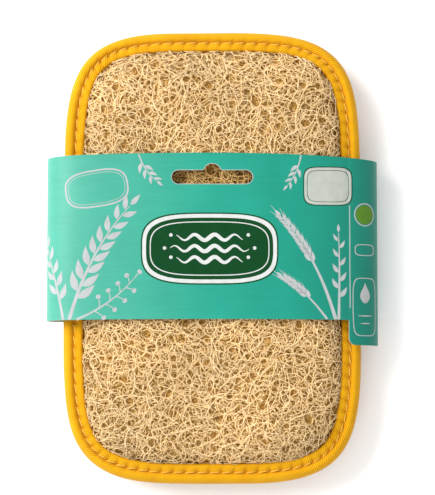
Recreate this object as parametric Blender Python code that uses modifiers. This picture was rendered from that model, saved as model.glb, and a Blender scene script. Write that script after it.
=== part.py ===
"""Natural loofah sponge: a flattened loofah pad, bound round its edge with folded tape, in a card band.

Metres, +Z up. The pad lies on its back with its length along Y. The origin is on the surface
that it lies on, under the middle of the pad. Run with blender --background --python part.py.
"""

import math

import bmesh
import bpy
import numpy as np
from mathutils import Vector, noise
from mathutils.geometry import delaunay_2d_cdt

MM = 0.001

# Plan of the pad, a superellipse with flatter sides than ends
PAD_WIDTH = 118.3 * MM
PAD_LENGTH = 180 * MM
WIDTH_POWER = 3.75
LENGTH_POWER = 6.0
OUTLINE_SAMPLES = 1440

# Section of the loofah: a thin rim that the tape grips, and a plump body
RIM_HALF = 2.3 * MM
BODY_HALF = 10.0 * MM
SHOULDER = 17 * MM
SHOULDER_POWER = 2.2
RIM_INSET = 2.1 * MM
FACE_INSET = 7.7 * MM
PRESSED_HALF = 10.5 * MM

# Raised net of fibre: strands round sunken pores
NET_PITCH = 3.05 * MM
NET_RISE = 0.5 * MM
PORE_DEPTH = 2.0 * MM
NET_UNEVEN = 0.45 * MM
NET_JITTER = 0.8 * MM
NET_FADE = 4 * MM
NET_SEED = 11.7
RIM_STATIONS = 168
PORE, NET, FACE_EDGE, RIM = range(4)

# Folded binding tape: a large outer roll, a sewn groove and a small inner roll
TAPE_WIDTH = 7.3 * MM
TAPE_STATIONS = 84
TAPE_SLOT_HALF = 2.6 * MM
TAPE_SLOT_END = 1.5 * MM
# Inset from the edge and half height of the tape's upper skin, from the slot round to the edge
TAPE_SKIN_MM = [
    (7.3, 2.6), (7.35, 3.6), (6.75, 4.45), (5.85, 4.55), (4.8, 3.75),
    (3.9, 4.45), (2.6, 4.55), (1.0, 3.5), (0.2, 1.7),
]

# Card band round the pad, a loop with rounded sides and a flat back
BAND_THICK = 0.5 * MM
BAND_HALF_WIDTH = 65.3 * MM
BAND_FRONT_HALF = 11.0 * MM
BAND_BACK_HALF = 10.85 * MM
BAND_LEFT_POWER = 9.0
BAND_RIGHT_POWER = 6.0
BAND_TOP = 40.2 * MM
BAND_BOTTOM = -25.35 * MM
BAND_COLUMNS = 60
BAND_ROWS = 2
# Side tab that hangs below the band on its right side
TAB_LEFT = 53.6 * MM
TAB_DROP = 9.8 * MM
TAB_CORNER = 2.5 * MM
TAB_STEPS = 5
TAB_STEP_WIDTH = 0.04 * MM

# Hang slot in the band's front: a long slot with a round bump above its middle
SLOT_WIDTH = 32 * MM
SLOT_HEIGHT = 5.6 * MM
SLOT_Y = 30.6 * MM
BUMP_RADIUS = 3.6 * MM
BUMP_Y = 32.4 * MM
ARC_STEPS = 8

MID_Z = BAND_THICK + BAND_BACK_HALF


def clear_scene():
    for obj in list(bpy.data.objects):
        bpy.data.objects.remove(obj, do_unlink=True)


def new_collection(name):
    collection = bpy.data.collections.new(name)
    bpy.context.scene.collection.children.link(collection)
    return collection


def plain_material(name, colour, roughness):
    material = bpy.data.materials.new(name)
    material.use_nodes = True
    shader = material.node_tree.nodes["Principled BSDF"]
    shader.inputs["Base Color"].default_value = (*colour, 1.0)
    shader.inputs["Roughness"].default_value = roughness
    shader.inputs["Metallic"].default_value = 0.0
    material.diffuse_color = (*colour, 1.0)
    return material


def add_object(name, data, collection, material=None):
    obj = bpy.data.objects.new(name, data)
    collection.objects.link(obj)
    if material:
        data.materials.append(material)
    return obj


def outline(inset, count=OUTLINE_SAMPLES):
    """Points evenly spaced round the pad's plan, counter-clockwise, moved inwards by inset."""
    turn = np.linspace(0, 2 * math.pi, 8 * OUTLINE_SAMPLES, endpoint=False)
    x = PAD_WIDTH / 2 * np.sign(np.cos(turn)) * np.abs(np.cos(turn)) ** (2 / WIDTH_POWER)
    y = PAD_LENGTH / 2 * np.sign(np.sin(turn)) * np.abs(np.sin(turn)) ** (2 / LENGTH_POWER)
    ring = np.column_stack([x, y])
    ring = np.vstack([ring, ring[:1]])
    run = np.concatenate([[0], np.cumsum(np.linalg.norm(np.diff(ring, axis=0), axis=1))])
    at = np.linspace(0, run[-1], count, endpoint=False)
    points = np.column_stack([np.interp(at, run, ring[:, 0]), np.interp(at, run, ring[:, 1])])
    along = np.roll(points, -1, axis=0) - np.roll(points, 1, axis=0)
    along /= np.linalg.norm(along, axis=1)[:, None]
    inward = np.column_stack([-along[:, 1], along[:, 0]])
    return points + inset * inward


def smooth_step(t):
    t = min(max(t, 0.0), 1.0)
    return t * t * (3 - 2 * t)


def body_half(inset):
    """Half thickness of the loofah at a distance in from the pad's edge, without its net."""
    t = min(max((inset - FACE_INSET) / SHOULDER, 0.0), 1.0)
    return RIM_HALF + (BODY_HALF - RIM_HALF) * math.sqrt(1 - (1 - t) ** SHOULDER_POWER)


def net_lattice(face_edge):
    """Uneven triangular lattice inside an outline; one point in three is a pore, the rest are net."""
    row_pitch = NET_PITCH * math.sqrt(3) / 2
    rows = math.ceil(PAD_LENGTH / 2 / row_pitch)
    columns = math.ceil(PAD_WIDTH / 2 / NET_PITCH) + rows
    points, pores = [], []
    for row in range(-rows, rows + 1):
        for column in range(-columns, columns + 1):
            plan = np.array([(column + row / 2) * NET_PITCH, row * row_pitch])
            stir = noise.noise_vector(Vector((*(plan / MM / 2.3), NET_SEED)))
            plan += NET_JITTER * np.array(stir[:2])
            if inset_from(face_edge, plan) > NET_PITCH / 2:
                points.append(plan)
                pores.append((column - row) % 3 == 0)
    return points, pores


def inset_from(ring, plan):
    """How far inside a closed counter-clockwise outline a point lies; negative outside it."""
    nearest = int(np.argmin(np.linalg.norm(ring - plan, axis=1)))
    ahead, behind = ring[(nearest + 1) % len(ring)], ring[nearest - 1]
    along = (ahead - behind) / np.linalg.norm(ahead - behind)
    away = plan - ring[nearest]
    return along[0] * away[1] - along[1] * away[0]


def make_loofah_pad(collection, material):
    """A net of triangles is extruded to a slab, then each face is pushed out to its section."""
    edge = outline(0.0)
    face_edge = outline(FACE_INSET)
    points, pores = net_lattice(face_edge)
    rim = list(outline(RIM_INSET, RIM_STATIONS))
    rings = list(outline(FACE_INSET, RIM_STATIONS)) + rim
    flat = [Vector(p) for p in points + rings]
    plan, _, faces, _, _, _ = delaunay_2d_cdt(flat, [], [], 0, 0.001 * MM)
    bm = bmesh.new()
    verts = [bm.verts.new((p.x, p.y, 0.0)) for p in plan]
    for face in faces:
        bm.faces.new([verts[i] for i in face])
    bm.verts.index_update()
    kind = bm.verts.layers.int.new("kind")
    for v in bm.verts:
        if v.index < len(points):
            v[kind] = PORE if pores[v.index] else NET
        else:
            v[kind] = RIM if v.index >= len(flat) - len(rim) else FACE_EDGE
    lifted = bmesh.ops.extrude_face_region(bm, geom=bm.faces[:], use_keep_orig=True)
    front = {v for v in lifted["geom"] if isinstance(v, bmesh.types.BMVert)}
    for v in bm.verts:
        side = 1 if v in front else -1
        half = pad_half(v[kind], inset_from(edge, np.array(v.co[:2])), v.co, side)
        v.co.z = MID_Z + side * half
    bmesh.ops.recalc_face_normals(bm, faces=bm.faces[:])
    mesh = bpy.data.meshes.new("loofah_pad")
    bm.to_mesh(mesh)
    bm.free()
    return add_object("loofah_pad", mesh, collection, material)


def pad_half(kind, inset, co, side):
    """Half thickness of the pad at one vertex, with its pore or its raised strand."""
    if kind in (RIM, FACE_EDGE):
        return RIM_HALF
    uneven = NET_UNEVEN * noise.noise(Vector((co.x / MM / 5, co.y / MM / 5, side * NET_SEED)))
    relief = -PORE_DEPTH if kind == PORE else NET_RISE
    half = body_half(inset) + (relief + uneven) * smooth_step((inset - FACE_INSET) / NET_FADE)
    return min(half, PRESSED_HALF)


def tape_profile():
    """The tape's section, a C that is open inwards (-X): upper skin, lower skin, then the slot."""
    upper = [(-inset * MM, half * MM) for inset, half in TAPE_SKIN_MM]
    lower = [(inset, -half) for inset, half in reversed(upper)]
    slot = [(-TAPE_SLOT_END, -TAPE_SLOT_HALF), (-TAPE_SLOT_END, TAPE_SLOT_HALF)]
    return upper + [(0.0, 0.0)] + lower + slot


def poly_curve(name, points, dimensions):
    curve = bpy.data.curves.new(name, "CURVE")
    curve.dimensions = dimensions
    spline = curve.splines.new("POLY")
    spline.points.add(len(points) - 1)
    for point, co in zip(spline.points, points):
        point.co = (*co, 0.0, 1.0) if len(co) == 2 else (*co, 1.0)
    spline.use_cyclic_u = True
    spline.use_smooth = False
    return curve


def make_edge_binding(collection, guides, material):
    profile = poly_curve("tape_profile", tape_profile(), "2D")
    profile.fill_mode = "NONE"
    guide = add_object("tape_profile", profile, guides)
    guide.hide_render = True
    path = poly_curve("edge_binding", outline(0.0, TAPE_STATIONS), "3D")
    path.twist_mode = "Z_UP"
    path.bevel_mode = "OBJECT"
    path.bevel_object = guide
    binding = add_object("edge_binding", path, collection, material)
    binding.location.z = MID_Z
    return binding


def band_columns():
    """Points (x, z) round the inside of the band, and the y of its lower edge at each."""
    turn = np.linspace(math.pi / 2, -3 * math.pi / 2, 4 * OUTLINE_SAMPLES)
    cos, sin = np.cos(turn), np.sin(turn)
    power = np.where(cos > 0, BAND_RIGHT_POWER, BAND_LEFT_POWER)
    x = BAND_HALF_WIDTH * np.sign(cos) * np.abs(cos) ** (2 / power)
    z = BAND_FRONT_HALF * sin
    z = np.maximum(z, -BAND_BACK_HALF)
    run = np.concatenate([[0], np.cumsum(np.hypot(np.diff(x), np.diff(z)))])
    front_right = (x > 0) & (z > 0)
    tab_start = np.interp(TAB_LEFT, x[front_right], run[front_right])
    tab_end = run[np.argmax(x)]
    corner = TAB_CORNER * (1 - np.cos(np.linspace(0, math.pi / 2, TAB_STEPS)))
    steps = np.concatenate([
        [tab_start - TAB_STEP_WIDTH],
        tab_start + corner,
        tab_end - corner[::-1],
        [tab_end + TAB_STEP_WIDTH],
    ])
    even = np.linspace(0, run[-1], BAND_COLUMNS + 1)
    clear = np.min(np.abs(even[:, None] - steps), axis=1) > run[-1] / BAND_COLUMNS / 3
    clear[[0, -1]] = True
    at = np.sort(np.concatenate([even[clear], steps]))
    lower = [BAND_BOTTOM - tab_drop(s, tab_start, tab_end) for s in at]
    return np.interp(at, run, x), np.interp(at, run, z), lower


def tab_drop(s, start, end):
    """How far the lower edge hangs below the band at s along its loop, with rounded corners."""
    into = min(s - start, end - s)
    if into < -TAB_STEP_WIDTH / 2:
        return 0.0
    left = max(0.0, TAB_CORNER - into)
    return TAB_DROP - TAB_CORNER + math.sqrt(max(0.0, TAB_CORNER**2 - left**2))


def make_card_band(collection, cutters, material):
    x, z, lower = band_columns()
    bm = bmesh.new()
    bmesh.ops.create_grid(bm, x_segments=len(x) - 1, y_segments=BAND_ROWS, size=1.0)
    for v in bm.verts:
        column = round((v.co.x + 1) / 2 * (len(x) - 1))
        rise = (v.co.y + 1) / 2
        y = lower[column] + (BAND_TOP - lower[column]) * rise
        v.co = (x[column], y, MID_Z + z[column])
    bmesh.ops.remove_doubles(bm, verts=bm.verts[:], dist=0.001 * MM)
    bmesh.ops.recalc_face_normals(bm, faces=bm.faces[:])
    mesh = bpy.data.meshes.new("card_band")
    bm.to_mesh(mesh)
    bm.free()
    band = add_object("card_band", mesh, collection, material)
    thick = band.modifiers.new("card", "SOLIDIFY")
    thick.thickness = BAND_THICK
    thick.offset = 1.0
    cut = band.modifiers.new("hang_slot", "BOOLEAN")
    cut.operation = "DIFFERENCE"
    cut.object = make_slot_cutter(cutters)
    return band


def slot_outline():
    """The slot with half-round ends and its bump, counter-clockwise about the slot's middle."""
    end = SLOT_HEIGHT / 2
    straight = SLOT_WIDTH / 2 - end
    rise = end - (BUMP_Y - SLOT_Y)
    half_chord = math.asin(rise / BUMP_RADIUS)
    points = [arc_point(straight, 0, end, a) for a in arc_angles(-math.pi / 2, math.pi / 2)]
    bump = arc_angles(half_chord, math.pi - half_chord)
    points += [arc_point(0, BUMP_Y - SLOT_Y, BUMP_RADIUS, a) for a in bump]
    points += [arc_point(-straight, 0, end, a) for a in arc_angles(math.pi / 2, 3 * math.pi / 2)]
    return points


def arc_angles(start, end):
    return np.linspace(start, end, ARC_STEPS + 1)


def arc_point(x, y, radius, angle):
    return (x + radius * math.cos(angle), y + radius * math.sin(angle))


def make_slot_cutter(cutters):
    curve = poly_curve("hang_slot_cutter", slot_outline(), "2D")
    curve.fill_mode = "BOTH"
    curve.extrude = BAND_FRONT_HALF / 2
    shape = add_object("hang_slot_outline", curve, cutters)
    shape.location = (0.0, SLOT_Y, MID_Z + BAND_FRONT_HALF)
    bpy.context.view_layer.update()
    graph = bpy.context.evaluated_depsgraph_get()
    mesh = bpy.data.meshes.new_from_object(shape.evaluated_get(graph))
    bm = bmesh.new()
    bm.from_mesh(mesh)
    bmesh.ops.remove_doubles(bm, verts=bm.verts[:], dist=0.001 * MM)
    bmesh.ops.recalc_face_normals(bm, faces=bm.faces[:])
    bm.to_mesh(mesh)
    bm.free()
    cutter = add_object("hang_slot_cutter", mesh, cutters)
    cutter.matrix_world = shape.matrix_world.copy()
    bpy.data.objects.remove(shape)
    cutter.hide_render = True
    cutter.display_type = "WIRE"
    return cutter


def main():
    clear_scene()
    parts = new_collection("loofah_sponge")
    helpers = new_collection("cutters_and_guides")
    make_loofah_pad(parts, plain_material("loofah", (0.66, 0.43, 0.18), 0.85))
    make_edge_binding(parts, helpers, plain_material("binding", (0.88, 0.40, 0.015), 0.8))
    make_card_band(parts, helpers, plain_material("card", (0.03, 0.45, 0.32), 0.35))


main()
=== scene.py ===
"""Looks of the natural loofah sponge: net of fibre, sewn edge binding and printed card band.

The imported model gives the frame, in metres. Shapes are worked out here in millimetres and
scaled once, when a mesh is made.
"""
import math
from collections import namedtuple

import bpy
import numpy as np
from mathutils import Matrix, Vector


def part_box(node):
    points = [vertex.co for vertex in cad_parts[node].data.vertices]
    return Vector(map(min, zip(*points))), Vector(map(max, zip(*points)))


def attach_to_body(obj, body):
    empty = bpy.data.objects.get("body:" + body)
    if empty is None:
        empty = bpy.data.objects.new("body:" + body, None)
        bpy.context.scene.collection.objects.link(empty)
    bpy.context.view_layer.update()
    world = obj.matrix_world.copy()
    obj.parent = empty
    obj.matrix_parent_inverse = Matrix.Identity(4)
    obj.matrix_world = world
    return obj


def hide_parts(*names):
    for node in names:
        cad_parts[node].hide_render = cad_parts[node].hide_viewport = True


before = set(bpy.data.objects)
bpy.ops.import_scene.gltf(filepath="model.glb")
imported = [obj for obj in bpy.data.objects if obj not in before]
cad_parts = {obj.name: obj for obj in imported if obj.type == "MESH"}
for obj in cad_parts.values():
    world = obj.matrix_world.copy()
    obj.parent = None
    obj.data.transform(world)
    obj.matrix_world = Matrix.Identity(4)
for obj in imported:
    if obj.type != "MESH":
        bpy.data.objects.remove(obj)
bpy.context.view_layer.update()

MM = 0.001
SEED = 20417
# Full turn of a wave's phase
PHASE = 6.3


def box_mm(node):
    return np.array(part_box(node)) / MM


# Sizes read from the frame
EDGE_LOW, EDGE_HIGH = box_mm("edge_binding")
BAND_LOW, BAND_HIGH = box_mm("card_band")
HALF_WIDTH, HALF_LENGTH = EDGE_HIGH[0], EDGE_HIGH[1]
MID_Z = (EDGE_LOW[2] + EDGE_HIGH[2]) / 2

# Plan and section of the pad, as in the solids
WIDTH_POWER, LENGTH_POWER = 3.75, 6.0
RIM_HALF, BODY_HALF = 2.3, 10.0
FACE_INSET = 7.7
SHOULDER, SHOULDER_POWER = 17.0, 2.2
OUTLINE_SAMPLES = 1440

# Card band, as in the solids
CARD = 0.5
BAND_HALF_WIDTH = BAND_HIGH[0] - CARD
BAND_FRONT_HALF = BAND_HIGH[2] - CARD - MID_Z
BAND_BACK_HALF = MID_Z - CARD
BAND_LEFT_POWER, BAND_RIGHT_POWER = 9.0, 6.0
TAB_DROP, TAB_LEFT, TAB_CORNER = 9.8, 53.6, 2.5
BAND_TOP, BAND_BOTTOM = BAND_HIGH[1], BAND_LOW[1] + TAB_DROP
SLOT_WIDTH, SLOT_HEIGHT, SLOT_Y = 32.0, 5.6, 30.6
BUMP_RADIUS, BUMP_Y = 3.6, 32.4

# Net of fibre: how far it runs in under the card, which presses it in over a reach from its edges
TUCK = 4.0
PRESS, PRESS_REACH = 2.4, 7.0
# Where the front's upper net starts, below the hang slot, and the back's share of the front's fibre
SLOT_NET_Y, BACK_SHARE = 24.5, 0.55
# Painted shade: how much darker the fibre's tone is painted under the card, and low in the net beside the
# tape
UNDER_CARD_PAINTED_SHADE = 0.22
BESIDE_TAPE_PAINTED_SHADE, TAPE_REACH = 0.42, 2.6
# Pores: least distance between two, radii, and how far past a zone's ends they still bow its fibre
PORE_SPACING, PORE_RADII, PORE_NEAR = 6.2, (1.0, 1.9), 5.0
# How a pore bows fibre: its reach, width and edge as shares of the pore's radius
BOW_REACH, BOW_WIDTH, BOW_EDGE = 2.6, 1.15, 0.2
# How far fibre sinks in a pore and at its ends, and its change of tone and radius
PORE_SINK, END_SINK = 0.75, 0.25
FIBRE_TONES, FIBRE_RADII = (-0.13, 0.1), (0.85, 1.2)
# Curls, and rings round pores: curls for each mm2, radii, step, sway, fibre's radii, change of tone
CURLS_PER_MM2, CURL_RADII, CURL_STEP = 0.3, (0.9, 2.1), 0.62
CURL_SWAY, CURL_THICK, CURL_TONES = 0.2, (0.11, 0.15), (-0.14, 0.08)
# Kinds of fibre: sides of the tube, mm of fibre for each mm2, length and step, how sharply it turns and
# for how long, height over the face and its change, radius, tone, and how far it bows round pores
Layer = namedtuple("Layer", "name sides density length step bend memory lift spread radius tone bow")
# Lower layers get lower tones: painted shade deep in the net
LAYERS = [
    Layer("strands", 4, 0.36, 14, 0.9, 0.13, 6.0, 0.32, 0.14, 0.132, 1.0, 0.45),
    Layer("net", 4, 1.1, 8, 0.78, 0.28, 5.0, 0.05, 0.22, 0.127, 0.98, 0.7),
    Layer("lower_net", 3, 1.15, 8, 0.85, 0.30, 4.0, -0.5, 0.22, 0.14, 0.56, 0.3),
    Layer("deep", 3, 1.2, 12, 1.1, 0.15, 4.0, -1.05, 0.22, 0.17, 0.43, 0.0),
]

# Packed fibre: its mesh, its depth at its edge and inside it, its bumps and its tone, kept dark as painted
# shade deep in the pad
CORE_STATIONS, CORE_STEPS = 240, 38
CORE_EDGE_DEPTH, CORE_DEPTH, CORE_FADE = 0.2, 1.6, 3.5
CORE_BUMP, CORE_TONE, CORE_TONE_CHANGE = 0.3, 0.19, 0.1
# Its rim in the tape's slot, as inset and half height
CORE_RIM = [(7.6, 2.15), (2.3, 2.0)]
# Strands drawn on it: size of their net in mm, and how much paler they are
PACKED_STRANDS = [(1.7, 0.36), (0.95, 0.14)]

# Sewn binding: inset from the edge and half height of the tape's skin, and its slot
TAPE_SKIN = [
    (7.95, 2.6), (8.1, 3.4), (7.7, 4.25), (6.75, 4.6), (5.7, 4.45), (4.95, 4.0), (4.5, 3.45),
    (4.05, 3.85), (3.3, 4.4), (2.3, 4.5), (1.1, 3.75), (0.3, 2.2),
]
TAPE_INNER_EDGE = TAPE_SKIN[1][0]
TAPE_SLOT_END, TAPE_SLOT_HALF = 1.5, 2.6
STITCH_PITCH, STATIONS_PER_STITCH = 4.8, 7
GROOVE_INSET, GROOVE_DEPTH = 4.5, 0.15
TWILL_PITCH, THREAD_PITCH = 1.25, 0.8
# Pull of a stitch: slant, half width, and depth on the inner roll and on the groove's outer lip
PULL_SLANT, PULL_HALF, ROLL_PULL, LIP_PULL = 0.28, 0.8, 0.6, 0.32
# Lock stitch: thread, its steps, height of its feet and arch, lean over the groove and pitch of its ply
THREAD_RADIUS, THREAD_SIDES, THREAD_STEPS = 0.3, 6, 9
THREAD_FOOT, THREAD_ARCH, THREAD_LEAN, PLY_PITCH = 3.25, (0.62, 0.78), (0.35, 0.75), 0.7
RING_STEPS_PER_STITCH = 40

# Card's mesh, and how sharp a corner in it has to be to show as an edge
BAND_STATIONS, BAND_ROWS, TAB_ROWS, SLOT_ARC_STEPS = 250, 34, 8, 16
CARD_SHARP = math.radians(40)
# How far the top edge dips towards each end, and the bottom edge hangs there
TOP_DIP_LEFT, TOP_DIP_RIGHT, BOTTOM_HANG = 1.3, 2.6, 0.5
# How far the card buckles, and how far its edges curl over a reach
BUCKLE, EDGE_CURL, CURL_REACH = 0.28, 0.4, 4.0
# Glued seam on the back, and the fold beside the tab
SEAM_X, SEAM_STEP = -18.0, 0.3
FOLD_X, FOLD_DEPTH, FOLD_HALF = 53.4, 0.16, 0.7

# Print: half widths along a leaf and a grain, as shares of the widest
LEAF = (0.03, 0.62, 0.95, 1.0, 0.86, 0.6, 0.3, 0.03)
GRAIN = (0.1, 0.85, 1.0, 0.9, 0.6, 0.15)
STEM_STEPS, LEAF_STEPS = 60, 12
# Base, heading and bend in degrees, length, first leaf along the stem, pairs, leaf length and kind
SPRIGS = [
    ((-56.0, -25.6), 74, -26, 51.0, 0.16, 8, 9.5, "leaf"),
    ((-58.5, -25.6), 101, 16, 36.0, 0.2, 5, 7.5, "leaf"),
    ((-53.0, -25.6), 24, 26, 28.0, 0.25, 4, 5.0, "berry"),
    ((-29.0, 39.75), -72, 34, 13.0, 0.25, 3, 5.0, "leaf"),
    ((48.4, -25.5), 106, 26, 46.0, 0.5, 8, 5.6, "grain"),
    ((45.0, -25.4), 126, 22, 24.0, 0.42, 6, 5.0, "grain"),
    ((49.6, -25.5), 88, 4, 34.0, 0.24, 4, 5.6, "leaf"),
    ((35.0, 39.3), -100, -30, 13.0, 0.3, 3, 4.6, "leaf"),
]
# Centres, half sizes and roundness of the plaque, the tag's outline and the label
PLAQUE, PLAQUE_HALVES, PLAQUE_POWER = (-1.0, 2.3), np.array([25.0, 12.2]), 3.4
TAG, TAG_HALVES, TAG_POWER, TAG_TURN = (-45.5, 26.1), np.array([12.6, 7.4]), 3.0, math.radians(9)
LABEL, LABEL_HALVES, LABEL_POWER = (45.6, 27.0), np.array([9.4, 7.4]), 5.0
# Middle of the side strip and of its disc
STRIP_X, DISC_Y = 60.6, 16.0

# Colour of the fibre from its deepest tone to its palest; the low tones show painted shade deep in the net
FIBRE_STOPS = [
    (0.0, (0.185, 0.08, 0.01)),
    (0.25, (0.335, 0.165, 0.022)),
    (0.5, (0.54, 0.305, 0.066)),
    (0.75, (0.765, 0.5, 0.18)),
    (1.0, (0.94, 0.7, 0.385)),
]
# Colour of the card from its left end to its right: partly print, partly painted light and reflection, paler
# at the left where the lamp falls
CARD_PRINT_AND_PAINTED_LIGHT_STOPS = [
    (0.0, (0.064, 0.322, 0.238)),
    (0.25, (0.04, 0.3, 0.218)),
    (0.5, (0.009, 0.258, 0.182)),
    (0.75, (0.003, 0.222, 0.156)),
    (1.0, (0.003, 0.165, 0.116)),
]
# Colour and roughness of each ink
INKS = {
    "pale": ((0.53, 0.54, 0.53), 0.45),
    "faint": ((0.37, 0.39, 0.39), 0.45),
    "dark": ((0.001, 0.045, 0.01), 0.5),
    "panel": ((0.38, 0.4, 0.36), 0.5),
    "olive": ((0.085, 0.2, 0.02), 0.45),
}

# Studio, in metres: name, place, size and power in watts of each lamp
WORLD_STRENGTH = 0.87
LAMPS = [
    ("key", (-0.76, 0.42, 0.66), 0.7, 16.6),
    ("fill", (-0.1, -0.9, 0.7), 0.9, 2.8),
]
FLOOR_SIZE, FLOOR_Z = 6.0, -0.0002
CAMERA_DISTANCE, CAMERA_TILT = 0.78, math.radians(4.6)
VIEW_CENTRE = Vector((0.0021, 0.0031, 0.018))
FRAME_HEIGHT, SENSOR = 0.1957, 36.0


# Meshes
def make_mesh(name, verts_mm, faces, materials, smooth=True, kinds=None, **attributes):
    """A mesh object from points in millimetres and one array of faces for each number of sides."""
    mesh = bpy.data.meshes.new(name)
    verts = np.asarray(verts_mm, np.float32) * MM
    corners = np.concatenate([f.ravel() for f in faces]).astype(np.int32)
    sizes = np.concatenate([np.full(len(f), f.shape[1]) for f in faces])
    starts = np.cumsum(sizes) - sizes
    mesh.vertices.add(len(verts))
    mesh.vertices.foreach_set("co", verts.ravel())
    mesh.loops.add(len(corners))
    mesh.loops.foreach_set("vertex_index", corners)
    mesh.polygons.add(len(sizes))
    mesh.polygons.foreach_set("loop_start", starts.astype(np.int32))
    for material in materials:
        mesh.materials.append(material)
    if kinds is not None:
        mesh.polygons.foreach_set("material_index", kinds.astype(np.int32))
    mesh.update(calc_edges=True)
    mesh.validate()
    if smooth:
        mesh.shade_smooth()
    else:
        mesh.shade_flat()
    for label, values in attributes.items():
        values = np.asarray(values, np.float32)
        kind, field = ("FLOAT", "value") if values.ndim == 1 else ("FLOAT_VECTOR", "vector")
        layer = mesh.attributes.new(label, kind, "POINT")
        layer.data.foreach_set(field, values.ravel())
    obj = bpy.data.objects.new(name, mesh)
    bpy.context.scene.collection.objects.link(obj)
    return obj


def closed_shell(outer, inner, quads):
    """Points and quads of a closed sheet between two skins that share one layout of quads."""
    edges = np.stack([quads, np.roll(quads, -1, axis=1)], -1).reshape(-1, 2)
    pairs = np.sort(edges, axis=1)
    _, first, count = np.unique(pairs, axis=0, return_index=True, return_counts=True)
    rim = edges[first[count == 1]]
    under = len(outer)
    walls = np.column_stack([rim[:, 1], rim[:, 0], rim[:, 0] + under, rim[:, 1] + under])
    return np.vstack([outer, inner]), np.concatenate([quads, quads[:, ::-1] + under, walls])


def grid_quads(rows, columns, wrap=False):
    """Quads of a grid of points laid out row by row; wrap joins the last column to the first."""
    start = np.arange(rows - 1)[:, None] * columns
    left = np.arange(columns if wrap else columns - 1)[None]
    right = (left + 1) % columns
    corners = [start + left, start + right, start + columns + right, start + columns + left]
    return np.stack(corners, -1).reshape(-1, 4)


def unit(vectors):
    return vectors / np.maximum(np.linalg.norm(vectors, axis=-1, keepdims=True), 1e-9)


def tube_rings(middle, along, normal, radius, sides):
    """A ring of points round each point of a line, as (points, sides, 3)."""
    across = unit(np.cross(unit(along), normal))
    up = np.cross(across, unit(along))
    turn = 2 * math.pi * np.arange(sides)[None, :, None] / sides
    ring = np.cos(turn) * across[:, None] + np.sin(turn) * up[:, None]
    return middle[:, None] + radius[:, None, None] * ring


def ripple(x, y, size, seed):
    """Smooth unevenness, mostly between -1 and 1, in waves of about this size that don't repeat."""
    waves = 6
    rng = np.random.default_rng(seed)
    total = 0.0
    for _ in range(waves):
        turn, phase = rng.uniform(0, 2 * math.pi, 2)
        rate = 2 * math.pi / size * rng.uniform(0.6, 1.5)
        total += np.sin(rate * (x * math.cos(turn) + y * math.sin(turn)) + phase)
    return total / math.sqrt(2 * waves)


def smooth_step(t):
    t = np.clip(t, 0, 1)
    return t * t * (3 - 2 * t)


def bell(value, middle, width):
    return np.exp(-((value - middle) / width) ** 2)


def polar(radius, turn):
    """Vectors of these lengths at these angles."""
    return np.stack([radius * np.cos(turn), radius * np.sin(turn)], -1)


def left_of(along):
    return np.stack([-along[..., 1], along[..., 0]], -1)


def run_along(path):
    """Distance along a path at each of its points."""
    return np.concatenate([[0], np.cumsum(np.hypot(*np.diff(path, axis=0).T))])


def points_at(path, run, at):
    """A path's points at distances along it, from the distance at each of its own points."""
    return np.stack([np.interp(at, run, column) for column in path.T], -1)


# Plan of the pad
def outline_ring(count=OUTLINE_SAMPLES):
    """Evenly spaced points round the pad, counter-clockwise, their inward normals and the length."""
    turn = np.linspace(0, 2 * math.pi, 8 * OUTLINE_SAMPLES, endpoint=False)
    cos, sin = np.cos(turn), np.sin(turn)
    x = HALF_WIDTH * np.sign(cos) * np.abs(cos) ** (2 / WIDTH_POWER)
    y = HALF_LENGTH * np.sign(sin) * np.abs(sin) ** (2 / LENGTH_POWER)
    outline = np.column_stack([np.append(x, x[0]), np.append(y, y[0])])
    run = run_along(outline)
    ring = points_at(outline, run, np.linspace(0, run[-1], count, endpoint=False))
    along = unit(np.roll(ring, -1, axis=0) - np.roll(ring, 1, axis=0))
    return ring, left_of(along), run[-1]


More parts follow.
